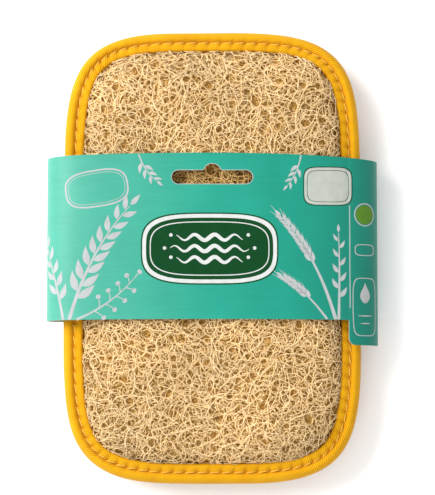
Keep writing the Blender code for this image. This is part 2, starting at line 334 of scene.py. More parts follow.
class PadSurface:
    """Lays a flat drawing, in millimetres, over the crowned face of the pad without stretching it."""

    CELL, MARGIN, SECTION_SAMPLES = 1.0, 6.0, 400

    def __init__(self):
        ring, inward, _ = outline_ring()
        edge = ring + FACE_INSET * inward
        t = np.linspace(0, 1, self.SECTION_SAMPLES) ** 2
        height = RIM_HALF + (BODY_HALF - RIM_HALF) * np.sqrt(1 - (1 - t) ** SHOULDER_POWER)
        section = np.column_stack([SHOULDER * t, height])
        self.run = run_along(section)
        self.section = np.hstack([section, np.gradient(section, self.run, axis=0)])
        # How far the drawing reaches past the face's edge, and its half sizes
        self.spill = self.run[-1] - SHOULDER
        self.reach = np.array([HALF_WIDTH, HALF_LENGTH]) - FACE_INSET + self.spill
        self.low = np.array([-HALF_WIDTH, -HALF_LENGTH]) + FACE_INSET - self.MARGIN
        self.cells = np.ceil(-2 * self.low / self.CELL).astype(int) + 1
        gx, gy = (self.low[k] + self.CELL * np.arange(self.cells[k]) for k in (0, 1))
        self.field = np.empty((len(gx), len(gy), 3))
        for i, x in enumerate(gx):
            nodes = np.column_stack([np.full(len(gy), x), gy])
            away = nodes[:, None] - edge
            nearest = np.argmin((away**2).sum(-1), axis=1)
            normal = inward[nearest]
            depth = (away[np.arange(len(gy)), nearest] * normal).sum(-1)
            self.field[i] = np.column_stack([depth, normal])

    def depth(self, plan):
        """Distance inside the face's edge and the inward direction at each point of the drawing."""
        at = np.clip((plan - self.low) / self.CELL, 0, self.cells - 1.001)
        i = at.astype(int)
        f = at - i
        value = 0
        for dx in (0, 1):
            for dy in (0, 1):
                share = np.abs(1 - dx - f[:, 0]) * np.abs(1 - dy - f[:, 1])
                value += share[:, None] * self.field[i[:, 0] + dx, i[:, 1] + dy]
        return value[:, 0], value[:, 1:]

    def place(self, plan, lift, side):
        """Points of the drawing on the front (side 1) or back (-1), lifted off it, and the normals."""
        depth, inward = self.depth(plan)
        run = np.clip(depth + self.spill, 0, self.run[-1])
        inset, height, rise, lean = points_at(self.section, self.run, run).T
        on_flat = depth > SHOULDER
        lean[on_flat], rise[on_flat] = 0.0, 1.0
        shift = np.where(on_flat, 0.0, inset - depth)
        normal = unit(np.column_stack([-lean[:, None] * inward, side * rise]))
        base = np.column_stack([plan + shift[:, None] * inward, MID_Z + side * height])
        return base + lift[:, None] * normal, normal


PAD = PadSurface()
STITCHES = round(outline_ring()[2] / STITCH_PITCH)


# Net of fibre
def scatter(rng, spacing, radii):
    """Centres and radii of holes spread unevenly over the pad, no two closer than spacing."""
    cells = 4 * PAD.reach.prod() / spacing**2
    tries = rng.uniform(-PAD.reach, PAD.reach, (int(7 * cells), 2))
    kept = tries[:1]
    for spot in tries[1:]:
        if np.min(np.sum((kept - spot) ** 2, axis=1)) >= spacing**2:
            kept = np.vstack([kept, spot])
    return np.column_stack([kept, rng.uniform(*radii, len(kept))])


def evenly(rng, count, low, high):
    """Points spread over a box without gaps or crowds, by steps of two fixed fractions."""
    step = np.arange(count)[:, None] * (0.7548776662, 0.569840291)
    return low + (high - low) * ((rng.uniform(size=2) + step) % 1)


def wander(rng, zone, layer, share):
    """Curved lines over a zone: points (lines, steps, 2) and headings (lines, steps)."""
    count = int(layer.density * share * np.prod(zone[1] - zone[0]) / layer.length)
    steps = int(layer.length / layer.step) + 1
    keep = math.exp(-layer.step / layer.memory)
    fresh = math.sqrt(1 - keep**2)
    turning = np.empty((count, steps))
    turning[:, 0] = rng.normal(0, layer.bend, count)
    for k in range(1, steps):
        turning[:, k] = keep * turning[:, k - 1] + fresh * rng.normal(0, layer.bend, count)
    heading = rng.uniform(0, 2 * math.pi, count)[:, None] + np.cumsum(turning * layer.step, axis=1)
    points = np.cumsum(polar(layer.step, heading), axis=1)
    points += (evenly(rng, count, *zone) - points[:, steps // 2])[:, None]
    return points, heading


def round_holes(points, heading, holes, strength):
    """Bows each line round the holes that it passes, and gives how deep in a hole each point is."""
    flat = points.reshape(-1, 2)
    normal = left_of(polar(1.0, heading.ravel()))
    push = np.zeros(len(flat))
    inside = np.zeros(len(flat))
    order = np.argsort(flat[:, 0])
    sorted_x = flat[order, 0]
    for x, y, radius in holes:
        reach = BOW_REACH * radius
        part = order[slice(*np.searchsorted(sorted_x, (x - reach, x + reach)))]
        part = part[np.abs(flat[part, 1] - y) < reach]
        away = flat[part] - (x, y)
        near = np.exp(-(away**2).sum(1) / (BOW_WIDTH * radius) ** 2)
        side = np.tanh((away * normal[part]).sum(1) / (BOW_EDGE * radius))
        push[part] += side * near * radius
        inside[part] = np.maximum(inside[part], near)
    moved = flat + strength * push[:, None] * normal
    return moved.reshape(points.shape), inside.reshape(heading.shape)


def inside_zone(points, zone):
    return ((points > zone[0]) & (points < zone[1])).all(1)


def rings(rng, holes, zone, widths):
    """Wobbly loops, one for each width, round the holes of a zone: a list of point arrays."""
    loops = []
    for x, y, radius in holes[inside_zone(holes[:, :2], zone)]:
        for width in widths:
            sweep = rng.uniform(0.7, 1.9) * math.pi
            steps = max(6, int(sweep * radius * width / CURL_STEP))
            turn = rng.uniform(0, 2 * math.pi) + np.linspace(0, sweep, steps)
            wobble = 1 + 0.13 * np.sin(2 * turn + rng.uniform(0, PHASE)) + 0.07 * np.sin(3 * turn)
            reach = radius * width * wobble * np.linspace(0.93, 1.1, steps)
            loops.append((x, y) + polar(reach, turn))
    return loops


def pressed(y):
    """How far the card presses the net in at each height y along the pad."""
    return PRESS * smooth_step(np.minimum(BAND_TOP - y, y - BAND_BOTTOM) / PRESS_REACH)


def shaded(plan, lift):
    """Painted shade from the card and the tape: how much they take off the tone of the fibre at points of
    the drawing.
    """
    depth, _ = PAD.depth(plan)
    # Painted shade low in the net beside the tape, more on the lower fibre
    beside = smooth_step(1 - depth / TAPE_REACH) * np.clip(-lift, 0, 1)
    return UNDER_CARD_PAINTED_SHADE * pressed(plan[:, 1]) / PRESS + BESIDE_TAPE_PAINTED_SHADE * beside


def fibre_tubes(name, lines, material, side, sides):
    """One mesh of thin closed tubes. Each line is (plan points, lifts, radius, tone)."""
    plans, lifts, radii, tones = zip(*lines)
    lengths = np.array([len(plan) for plan in plans])
    plan, lift = np.concatenate(plans), np.concatenate(lifts)
    radius = np.repeat(radii, lengths)
    # Painted shade under the card and beside the tape darkens the tone
    tone = np.repeat(tones, lengths) - shaded(plan, lift)
    last = np.cumsum(lengths) - 1
    first = last - lengths + 1
    at, normal = PAD.place(plan, lift - pressed(plan[:, 1]), side)
    index = np.arange(len(plan))
    ahead = np.minimum(index + 1, np.repeat(last, lengths))
    behind = np.maximum(index - 1, np.repeat(first, lengths))
    radius = radius * (1 + 0.12 * np.sin(1.3 * index))
    radius[np.append(first, last)] *= 0.5
    verts = tube_rings(at, at[ahead] - at[behind], normal, radius, sides).reshape(-1, 3)
    start = np.setdiff1d(index, last)[:, None] * sides
    s = np.arange(sides)[None]
    after = (s + 1) % sides
    corners = [start + s, start + sides + s, start + sides + after, start + after]
    walls = np.stack(corners, -1).reshape(-1, 4)
    faces = [walls, first[:, None] * sides + s, last[:, None] * sides + s[:, ::-1]]
    return make_mesh(name, verts, faces, [material], tone=np.repeat(tone, sides))


def cut_runs(line, height, keep):
    """The stretches of a line where keep holds, of four points or more."""
    edges = np.flatnonzero(np.diff(np.concatenate([[False], keep, [False]]).astype(int)))
    for start, end in edges.reshape(-1, 2):
        if end - start >= 4:
            yield line[start:end], height[start:end]


def layer_lines(rng, layer, zone, share, pores):
    """The fibre of one kind over a zone, cut off at the zone's ends and at the face's edge."""
    points, heading = wander(rng, zone, layer, share)
    points, in_pore = round_holes(points, heading, pores, layer.bow)
    count, steps = heading.shape
    base = layer.lift + layer.spread * rng.uniform(-1, 1, (count, 1))
    phase = np.linspace(0, 1, steps)[None] * layer.length / 2.2 + rng.uniform(0, PHASE, (count, 1))
    end = np.minimum(np.arange(steps), np.arange(steps)[::-1])[None]
    lift = base + 0.7 * (layer.spread * np.sin(phase)) - PORE_SINK * in_pore - END_SINK * (end == 0)
    flat = points.reshape(-1, 2)
    depth, _ = PAD.depth(flat)
    keep = ((depth > -PAD.spill + 0.25) & inside_zone(flat, zone)).reshape(count, steps)
    tones = layer.tone + rng.uniform(*FIBRE_TONES, count)
    radii = layer.radius * rng.uniform(*FIBRE_RADII, count)
    lines = []
    for k in range(count):
        for run, height in cut_runs(points[k], lift[k], keep[k]):
            lines.append((run, height, radii[k], tones[k]))
    return lines


def curl_lines(rng, zone, pores, share):
    """Short curls spread evenly over a zone, and wobbly rings round its pores."""
    count = int(np.prod(zone[1] - zone[0]) * CURLS_PER_MM2 * share)
    curls = np.column_stack([evenly(rng, count, *zone), rng.uniform(*CURL_RADII, count)])
    apart = np.linalg.norm(curls[:, None, :2] - pores[None, :, :2], axis=2)
    crosses = np.abs(apart - curls[:, 2:]) < 0.7 * pores[None, :, 2]
    curls = curls[~crosses.any(axis=1)]
    lines = []
    for holes, widths, lift, tone in ((curls, (1.0,), 0.05, 0.95), (pores, (1.0, 1.3), -0.1, 0.93)):
        for loop in rings(rng, holes, zone, widths):
            depth, _ = PAD.depth(loop)
            if depth.min() < -PAD.spill + 0.3:
                continue
            sway = CURL_SWAY * np.sin(np.linspace(0, PHASE, len(loop)) + rng.uniform(0, PHASE))
            level = lift + rng.uniform(-0.3, 0.3) + sway
            lines.append((loop, level, rng.uniform(*CURL_THICK), tone + rng.uniform(*CURL_TONES)))
    return lines


def make_fibres(material):
    """The net on both faces, in a piece for each kind of fibre above and below the card."""
    rng = np.random.default_rng(SEED)
    reach_x, reach_y = PAD.reach
    pieces = []
    faces = [("front", 1, 1.0, SLOT_NET_Y), ("back", -1, BACK_SHARE, BAND_TOP - TUCK)]
    for face, side, share, upper_start in faces:
        pores = scatter(rng, PORE_SPACING, PORE_RADII)
        halves = [("upper", upper_start, reach_y), ("lower", -reach_y, BAND_BOTTOM + TUCK)]
        for half, low_y, high_y in halves:
            zone = np.array([[-reach_x, low_y], [reach_x, high_y]])
            near = pores[(pores[:, 1] > low_y - PORE_NEAR) & (pores[:, 1] < high_y + PORE_NEAR)]
            for layer in LAYERS:
                lines = layer_lines(rng, layer, zone, share, near)
                pieces.append(fibre_tubes(f"{layer.name}_{face}_{half}", lines, material, side, layer.sides))
            lines = curl_lines(rng, zone, near, share)
            pieces.append(fibre_tubes(f"curls_{face}_{half}", lines, material, side, 3))
    return pieces


def make_core(material):
    """The packed fibre deep in the pad, which closes the net from behind and fills the tape's slot."""
    ring, inward, _ = outline_ring(CORE_STATIONS)
    rim = ring + (FACE_INSET - PAD.spill) * inward
    scale = np.linspace(1, 0.02, CORE_STEPS)
    plan = (scale[:, None, None] * rim).reshape(-1, 2)
    x, y = plan.T
    depth, _ = PAD.depth(plan)
    fade = smooth_step((depth + PAD.spill) / CORE_FADE)
    halves = []
    for side in (1, -1):
        bumps = ripple(x, y, 5.0, SEED + side) + ripple(x, y, 2.6, SEED + 5)
        sink = (CORE_DEPTH - CORE_EDGE_DEPTH - CORE_BUMP * bumps) * fade + pressed(y)
        face, _ = PAD.place(plan, -CORE_EDGE_DEPTH - sink, side)
        rows = [face.reshape(CORE_STEPS, CORE_STATIONS, 3)]
        for inset, half in CORE_RIM:
            height = np.full(CORE_STATIONS, MID_Z + side * half)
            rows.insert(0, np.column_stack([ring + inset * inward, height])[None])
        halves.append(np.concatenate(rows))
    verts = np.concatenate([halves[1][::-1], halves[0]]).reshape(-1, 3)
    first = np.arange(CORE_STATIONS)[None]
    last = first + len(verts) - CORE_STATIONS
    faces = [grid_quads(len(verts) // CORE_STATIONS, CORE_STATIONS, wrap=True), first[:, ::-1], last]
    change = CORE_TONE_CHANGE * ripple(verts[:, 0], verts[:, 1], 4.0, SEED + 9)
    # Painted shade under the card and beside the tape darkens the core's tone
    tone = CORE_TONE + change - shaded(verts[:, :2], -1.0)
    return make_mesh("loofah_core", verts, faces, [material], tone=tone)


# Materials
class Nodes:
    """A material's nodes, made and linked by short calls."""

    def __init__(self, name, roughness, **sockets):
        self.material = bpy.data.materials.new(name)
        self.material.use_nodes = True
        self.tree = self.material.node_tree
        self.shader = self.tree.nodes["Principled BSDF"]
        self.shader.inputs["Roughness"].default_value = roughness
        for label, value in sockets.items():
            self.shader.inputs[label.replace("_", " ")].default_value = value

    def add(self, kind, **settings):
        node = self.tree.nodes.new("ShaderNode" + kind)
        for label, value in settings.items():
            if hasattr(node, label):
                setattr(node, label, value)
            else:
                node.inputs[label.replace("_", " ")].default_value = value
        return node

    def link(self, output, target):
        self.tree.links.new(output, target)

    def attribute(self, name, output="Fac"):
        return self.add("Attribute", attribute_name=name).outputs[output]

    def place(self):
        return self.add("TexCoord").outputs["Object"]

    def split(self, vector):
        node = self.add("SeparateXYZ")
        self.link(vector, node.inputs[0])
        return node.outputs

    def noise(self, scale, detail=2.0, vector=None):
        node = self.add("TexNoise", Scale=scale, Detail=detail)
        self.link(vector or self.place(), node.inputs["Vector"])
        return node.outputs["Fac"]

    def cell_walls(self, cell_mm):
        """1 along the walls between cells of about this size, and 0 inside them."""
        cells = self.add("TexVoronoi", feature="DISTANCE_TO_EDGE", Scale=1 / (cell_mm * MM))
        self.link(self.place(), cells.inputs["Vector"])
        wall = self.add("MapRange", From_Min=0.04, From_Max=0.14, To_Min=1.0, To_Max=0.0)
        self.link(cells.outputs["Distance"], wall.inputs["Value"])
        return wall.outputs[0]

    def math(self, operation, a, b=0.0, c=0.0):
        node = self.add("Math", operation=operation)
        for socket, value in zip(node.inputs, (a, b, c)):
            if isinstance(value, (int, float)):
                socket.default_value = value
            else:
                self.link(value, socket)
        return node.outputs[0]

    def waves(self, distance, pitch):
        """A sine wave of this pitch along a distance, both in millimetres."""
        return self.math("SINE", self.math("MULTIPLY", distance, 2 * math.pi / pitch))

    def ramp(self, factor, stops):
        node = self.add("ValToRGB")
        elements = node.color_ramp.elements
        while len(elements) < len(stops):
            elements.new(0.5)
        for element, (position, colour) in zip(elements, stops):
            element.position = position
            element.color = (*colour, 1.0)
        self.link(factor, node.inputs["Fac"])
        return node.outputs["Color"]

    def shade(self, colour, factor, low, high):
        """Darkens or lightens a colour by a factor that runs from low to high."""
        amount = self.add("MapRange", To_Min=low, To_Max=high)
        self.link(factor, amount.inputs["Value"])
        node = self.add("VectorMath", operation="SCALE")
        self.link(colour, node.inputs[0])
        self.link(amount.outputs[0], node.inputs["Scale"])
        return node.outputs[0]

    def blend(self, factor, start, end):
        """Takes a colour towards a fixed one."""
        node = self.add("Mix", data_type="RGBA")
        first, second = (s for s in node.inputs if s.type == "RGBA")
        self.link(factor, node.inputs["Factor"])
        self.link(start, first)
        second.default_value = (*end, 1.0)
        return next(s for s in node.outputs if s.type == "RGBA")

    def colour(self, output):
        self.link(output, self.shader.inputs["Base Color"])

    def bump(self, height, distance_mm, strength=1.0):
        node = self.add("Bump", Strength=strength, Distance=distance_mm * MM)
        self.link(height, node.inputs["Height"])
        self.link(node.outputs["Normal"], self.shader.inputs["Normal"])


def loofah_material(name, strands):
    """Dry fibre, paler where its tone is high, with a net of paler strands where some are given."""
    n = Nodes(name, 0.72, Sheen_Weight=0.05, Specular_IOR_Level=0.3)
    # The tone carries painted shade: lower layers, the core, and fibre under the card and beside the tape
    # are darker
    tone = n.attribute("tone")
    for cell, paler in strands:
        tone = n.math("MULTIPLY_ADD", n.cell_walls(cell), paler, tone)
    colour = n.ramp(tone, FIBRE_STOPS)
    colour = n.shade(colour, n.noise(900), 0.86, 1.12)
    n.colour(n.shade(colour, n.noise(42), 0.7, 1.25))
    n.bump(n.noise(5200, 3), 0.05, 0.5)
    return n.material


def binding_material():
    """Golden cotton twill: fine slanting ribs that follow the tape, with painted shade, deeper in colour, in
    its creases.
    """
    n = Nodes("twill_tape", 0.8, Sheen_Weight=0.06, Specular_IOR_Level=0.12)
    along, across, _ = n.split(n.attribute("weave", "Vector"))
    ribs = n.waves(n.math("ADD", along, across), TWILL_PITCH)
    steps = n.waves(n.math("SUBTRACT", along, across), THREAD_PITCH)
    cloth = n.math("MULTIPLY_ADD", steps, 0.35, ribs)
    height = n.math("MULTIPLY_ADD", cloth, 0.35, 0.5)
    base = n.ramp(n.noise(160), [(0.25, (0.6, 0.28, 0.001)), (0.75, (0.67, 0.335, 0.003))])
    # Painted shade: deeper orange in the groove, in the stitches' pulls on the inner roll and along the
    # inner edge
    base = n.blend(n.math("MULTIPLY", n.attribute("crease"), 0.55), base, (0.6, 0.215, 0.001))
    n.colour(n.shade(base, height, 0.68, 1.24))
    n.bump(height, 0.18)
    return n.material


def thread_material():
    """Golden sewing thread, with its ply wound round it."""
    n = Nodes("thread", 0.65, Sheen_Weight=0.05, Specular_IOR_Level=0.2)
    along, across, _ = n.split(n.attribute("weave", "Vector"))
    ply = n.waves(n.math("MULTIPLY_ADD", across, 1.4, along), PLY_PITCH)
    height = n.math("MULTIPLY_ADD", ply, 0.5, 0.5)
    n.colour(n.ramp(height, [(0.0, (0.62, 0.3, 0.02)), (1.0, (0.8, 0.48, 0.07))]))
    n.bump(height, 0.08, 0.7)
    return n.material


def card_material():
    """Coated card, paler towards its left end by print and by painted light and reflection, satin and
    faintly mottled.
    """
    n = Nodes("coated_card", 0.42, Specular_IOR_Level=0.25)
    along = n.math("MULTIPLY_ADD", n.split(n.place())[0], 0.5 / (BAND_HALF_WIDTH * MM), 0.5)
    # Painted light: the left end is paler, as the key lamp lights it more, along with the print's own change
    # of colour
    colour = n.ramp(along, CARD_PRINT_AND_PAINTED_LIGHT_STOPS)
    colour = n.shade(colour, n.noise(60, 4), 0.88, 1.12)
    # Faint rub marks that run across the card
    rubbed = n.add("Mapping", Scale=(70.0, 900.0, 70.0))
    n.link(n.place(), rubbed.inputs["Vector"])
    n.colour(n.shade(colour, n.noise(1.0, 3, rubbed.outputs[0]), 0.92, 1.08))
    n.bump(n.noise(2600, 3), 0.012, 0.4)
    return n.material


def bare_card_material():
    """The card's uncoated inside, pale grey pulp."""
    n = Nodes("bare_card", 0.9, Specular_IOR_Level=0.2)
    n.colour(n.ramp(n.noise(1400, 3), [(0.3, (0.5, 0.5, 0.45)), (0.7, (0.62, 0.62, 0.57))]))
    n.bump(n.noise(3000, 3), 0.03, 0.5)
    return n.material


def ink_material(name, colour, roughness):
    """Printing ink, slightly uneven, with the card's own fine relief."""
    n = Nodes(name, roughness, Specular_IOR_Level=0.1)
    darker = tuple(0.9 * c for c in colour)
    n.colour(n.ramp(n.noise(300, 3), [(0.35, darker), (0.65, colour)]))
    n.bump(n.noise(2600, 3), 0.012, 0.4)
    return n.material


# Sewn binding
def spline_through(points, per_span):
    """A smooth curve through the points of an open chain, with per_span points to each span."""
    points = np.asarray(points, float)
    padded = np.vstack([2 * points[0] - points[1], points, 2 * points[-1] - points[-2]])
    t = np.arange(per_span)[:, None] / per_span
    spans = []
    for a, b, c, d in zip(padded, padded[1:], padded[2:], padded[3:]):
        spans.append(0.5 * (2 * b + (c - a) * t + (2 * a - 5 * b + 4 * c - d) * t**2
                            + (3 * b - a - 3 * c + d) * t**3))
    return np.vstack(spans + [points[-1:]])


def tape_section():
    """The closed section of the tape as (inset, height), with the slot that grips the pad."""
    lower = [(inset, -half) for inset, half in reversed(TAPE_SKIN)]
    skin = spline_through(TAPE_SKIN + [(0.0, 0.0)] + lower, 2)
    slot = [(TAPE_SLOT_END, -TAPE_SLOT_HALF), (TAPE_SLOT_END, TAPE_SLOT_HALF)]
    return np.vstack([skin, slot])


def make_binding(material):
    """The folded tape, pulled in at every stitch so that its inner roll is beaded like a cord."""
    stations = STITCHES * STATIONS_PER_STITCH
    ring, inward, length = outline_ring(stations)
    pitch = length / STITCHES
    section = tape_section()
    inset, height = section[:, 0][None], section[:, 1][None]
    at = np.arange(stations)[:, None] * length / stations
    skin = np.abs(height) > 1.1 * TAPE_SLOT_HALF
    slanted = at / pitch - PULL_SLANT * (inset - GROOVE_INSET) / pitch
    away = pitch * np.abs((slanted + 0.5) % 1 - 0.5)
    pull = bell(away, 0.0, PULL_HALF)
    strength = 1 + 0.35 * ripple(at, 0 * at, 40, SEED + 6)
    roll = smooth_step((inset - 4.6) / 0.5) * smooth_step((7.7 - inset) / 2.1)
    lip = bell(inset, 3.8, 1.0)
    swell = 0.1 * ripple(at, 3 * inset, 23, SEED + 2) + 0.05 * ripple(at, 2 * inset, 7, SEED + 7)
    swell -= strength * pull * (ROLL_PULL * roll + LIP_PULL * lip)
    swell -= GROOVE_DEPTH * bell(inset, GROOVE_INSET, 0.4)
    z = height + np.sign(height) * swell * skin
    sway = 0.12 * (1 - 2 * pull) * (inset > 7) - 0.45 * (0.6 - pull) * bell(inset, 5.0, 0.5) * skin
    moved = inset + sway + 0.1 * ripple(at, 0 * at, 31, SEED + 3) * (inset < 1.5)
    plan = ring[:, None] + moved[..., None] * inward[:, None]
    verts = np.concatenate([plan, MID_Z + z[..., None]], axis=-1).reshape(-1, 3)
    weave = np.stack(np.broadcast_arrays(at, run_along(section)[None], 0.0), -1).reshape(-1, 3)
    # Painted shade for the material: the groove, the stitches' pulls on the inner roll and the tape's inner
    # edge
    groove = bell(inset, GROOVE_INSET - 0.2, 0.8) * skin
    crease = groove + 0.5 * pull * roll + bell(inset, TAPE_INNER_EDGE, 0.4)
    quads = grid_quads(stations + 1, len(section), wrap=True) % len(verts)
    return make_mesh("bound_edge", verts, [quads], [material], weave=weave, crease=crease.ravel())


def make_stitches(material):
    """Lock stitches in the groove: one short arched thread a pitch, on the front and the back."""
    per, fine, sides = RING_STEPS_PER_STITCH, THREAD_STEPS, THREAD_SIDES
    ring, inward, _ = outline_ring(STITCHES * per)
    t = np.linspace(0.07, 0.93, fine)
    rise = np.sin(math.pi * np.linspace(0.001, 0.999, fine)) ** 0.6
    thick = THREAD_RADIUS * np.array([0.6] + [1.0] * (fine - 2) + [0.6])
    wall = grid_quads(fine, sides, wrap=True)[:, ::-1]
    cap = np.arange(sides)[None]
    round_thread = 2 * math.pi * THREAD_RADIUS * cap / sides
    thread = np.broadcast_arrays(t[:, None] * STITCH_PITCH, round_thread, 0.0)
    rng = np.random.default_rng(SEED + 4)
    verts, walls, caps = [], [], []
    for side in (1, -1):
        for k in range(STITCHES):
            at = (k * per + (t * per).astype(int)) % len(ring)
            lean = 0.12 + (t - 0.5) * rng.uniform(*THREAD_LEAN)
            plan = ring[at] + (GROOVE_INSET + lean)[:, None] * inward[at]
            arch = THREAD_FOOT + rng.uniform(*THREAD_ARCH) * rise
            middle = np.column_stack([plan, MID_Z + side * arch])
            start = len(verts) * sides * fine
            verts.append(tube_rings(middle, np.gradient(middle, axis=0), (0, 0, 1), thick, sides))
            walls.append(wall + start)
            caps += [cap + start, cap[:, ::-1] + start + (fine - 1) * sides]
    weave = np.tile(np.stack(thread, -1).reshape(-1, 3), (len(verts), 1))
    faces = [np.vstack(walls), np.vstack(caps)]
    return make_mesh("lock_stitches", np.reshape(verts, (-1, 3)), faces, [material], weave=weave)


# Card band
def band_loop():
    """Points (x, z) round the inside of the card, from its front's middle to the right."""
    turn = np.linspace(math.pi / 2, -3 * math.pi / 2, 4 * OUTLINE_SAMPLES)
    cos, sin = np.cos(turn), np.sin(turn)
    power = np.where(cos > 0, BAND_RIGHT_POWER, BAND_LEFT_POWER)
    x = BAND_HALF_WIDTH * np.sign(cos) * np.abs(cos) ** (2 / power)
    return np.column_stack([x, np.maximum(BAND_FRONT_HALF * sin, -BAND_BACK_HALF)])


LOOP = band_loop()
LOOP_RUN = run_along(LOOP)
LOOP_OUT = left_of(np.gradient(LOOP, LOOP_RUN, axis=0))
QUARTER = np.argmax(LOOP[:, 0])
TAB_START = np.interp(TAB_LEFT, LOOP[:QUARTER, 0], LOOP_RUN[:QUARTER])
TAB_END = LOOP_RUN[QUARTER]


def buckle(x, y):
    """How far the front of the card stands off its even curve, outwards but for the fold."""
    waves = 0.5 + 0.3 * ripple(x, 0.55 * y, 46, SEED + 20) + 0.2 * ripple(x, y, 19, SEED + 21)
    fade = smooth_step((BAND_HALF_WIDTH - np.abs(x)) / 14)
    curl = np.clip(1 - np.minimum(BAND_TOP - y, y - BAND_BOTTOM) / CURL_REACH, 0, 1) ** 2
    fold = FOLD_DEPTH * bell(x, FOLD_X, FOLD_HALF)
    return fade * (BUCKLE * np.clip(waves, 0, 1.4) + EDGE_CURL * curl) - fold


def on_band(at, y, lifts):
    """Points of the card at arc lengths at and heights y, one array for each lift off its inside."""
    at = at % LOOP_RUN[-1]
    x, z = points_at(LOOP, LOOP_RUN, at).T
    out = unit(points_at(LOOP_OUT, LOOP_RUN, at))
    under = smooth_step((-z / BAND_BACK_HALF - 0.9) / 0.1)
    shift = smooth_step(z / 3) * buckle(x, y) - SEAM_STEP * under * (x > SEAM_X)
    skins = []
    for lift in lifts:
        off = lift + shift
        skins.append(np.column_stack([x + off * out[:, 0], y, MID_Z + z + off * out[:, 1]]))
    return skins


def tab_drop(at):
    """How far the tab hangs below the band at arc lengths at, with its rounded corners."""
    into = np.minimum(at - TAB_START, TAB_END - at)
    left = np.clip(TAB_CORNER - into, 0, TAB_CORNER)
    return TAB_DROP - TAB_CORNER + np.sqrt(TAB_CORNER**2 - left**2)


def band_columns():
    """Arc lengths of the columns of the card's mesh, closer together at the tab's corners."""
    corner = TAB_CORNER * (1 - np.cos(np.linspace(0, math.pi / 2, 6)))
    exact = np.concatenate([TAB_START + corner, TAB_END - corner])
    even = np.linspace(0, LOOP_RUN[-1], BAND_STATIONS, endpoint=False)
    pitch = even[1]
    clear = np.min(np.abs(even[:, None] - exact), axis=1) > 0.35 * pitch
    seam = np.searchsorted(-LOOP[2 * QUARTER:, 0], -SEAM_X) + 2 * QUARTER
    return np.sort(np.concatenate([even[clear], exact, LOOP_RUN[seam] + np.array([-0.02, 0.02])]))


def slot_outline():
    """The hang slot's edge: half-round ends and a round bump above its middle."""
    end = SLOT_HEIGHT / 2
    straight = SLOT_WIDTH / 2 - end
    half_chord = math.asin((end - (BUMP_Y - SLOT_Y)) / BUMP_RADIUS)
    arcs = [
        (straight, SLOT_Y, end, -math.pi / 2, math.pi / 2),
        (0.0, BUMP_Y, BUMP_RADIUS, half_chord, math.pi - half_chord),
        (-straight, SLOT_Y, end, math.pi / 2, 3 * math.pi / 2),
    ]
    points = []
    for x, y, radius, start, stop in arcs:
        a = np.linspace(start, stop, SLOT_ARC_STEPS + 1)
        points.append((x, y) + polar(radius, a))
    return np.vstack(points)


def cut_slot(band, materials):
    """Cuts the hang slot through the front of the card, with bare card on its walls."""
    edge = slot_outline()
    ends = MID_Z + BAND_FRONT_HALF * np.array([0.5, 1.5])
    verts = np.vstack([np.column_stack([edge, np.full(len(edge), z)]) for z in ends])
    ring = np.arange(len(edge))[None]
    faces = [grid_quads(2, len(edge), wrap=True), ring[:, ::-1], ring + len(edge)]
    cutter = make_mesh("slot_cutter", verts, faces, materials, smooth=False, kinds=np.ones(len(edge) + 2))
    cut = band.modifiers.new("hang_slot", "BOOLEAN")
    cut.operation = "DIFFERENCE"
    cut.solver = "EXACT"
    cut.object = cutter
    graph = bpy.context.evaluated_depsgraph_get()
    mesh = bpy.data.meshes.new_from_object(band.evaluated_get(graph))
    band.modifiers.clear()
    band.data = mesh
    bpy.data.objects.remove(cutter)
    mesh.set_sharp_from_angle(angle=CARD_SHARP)


def make_band(materials):
    """The card as one closed sheet, printed outside and bare inside, with the slot cut through it."""
    at = band_columns()
    x = np.interp(at, LOOP_RUN, LOOP[:, 0])
    reach = (x / BAND_HALF_WIDTH) ** 2
    top = BAND_TOP - np.where(x < 0, TOP_DIP_LEFT, TOP_DIP_RIGHT) * reach
    low = BAND_BOTTOM - BOTTOM_HANG * reach
    t = np.linspace(0, 1, BAND_ROWS)
    rise = 0.6 * t + 0.2 * (1 - np.cos(math.pi * t))
    y = low + (top - low) * rise[:, None]
    tab = np.flatnonzero((at > TAB_START - 1e-6) & (at < TAB_END + 1e-6))
    hang = np.arange(1, TAB_ROWS + 1)[:, None] / TAB_ROWS
    tab_y = low[tab] - tab_drop(at[tab]) * hang
    index = np.vstack([tab, BAND_ROWS * len(at) + np.arange(tab_y.size).reshape(tab_y.shape)])
    below = np.stack([index[1:, :-1], index[1:, 1:], index[:-1, 1:], index[:-1, :-1]], -1)
    quads = np.concatenate([grid_quads(BAND_ROWS, len(at), wrap=True), below.reshape(-1, 4)])
    columns = np.concatenate([np.tile(at, BAND_ROWS), np.tile(at[tab], TAB_ROWS)])
    skins = on_band(columns, np.concatenate([y.ravel(), tab_y.ravel()]), (CARD, 0.0))
    verts, shell = closed_shell(*skins, quads)
    bare = np.arange(len(shell)) >= len(quads)
    band = make_mesh("printed_band", verts, [shell], materials, kinds=bare)
    cut_slot(band, materials)
    return band


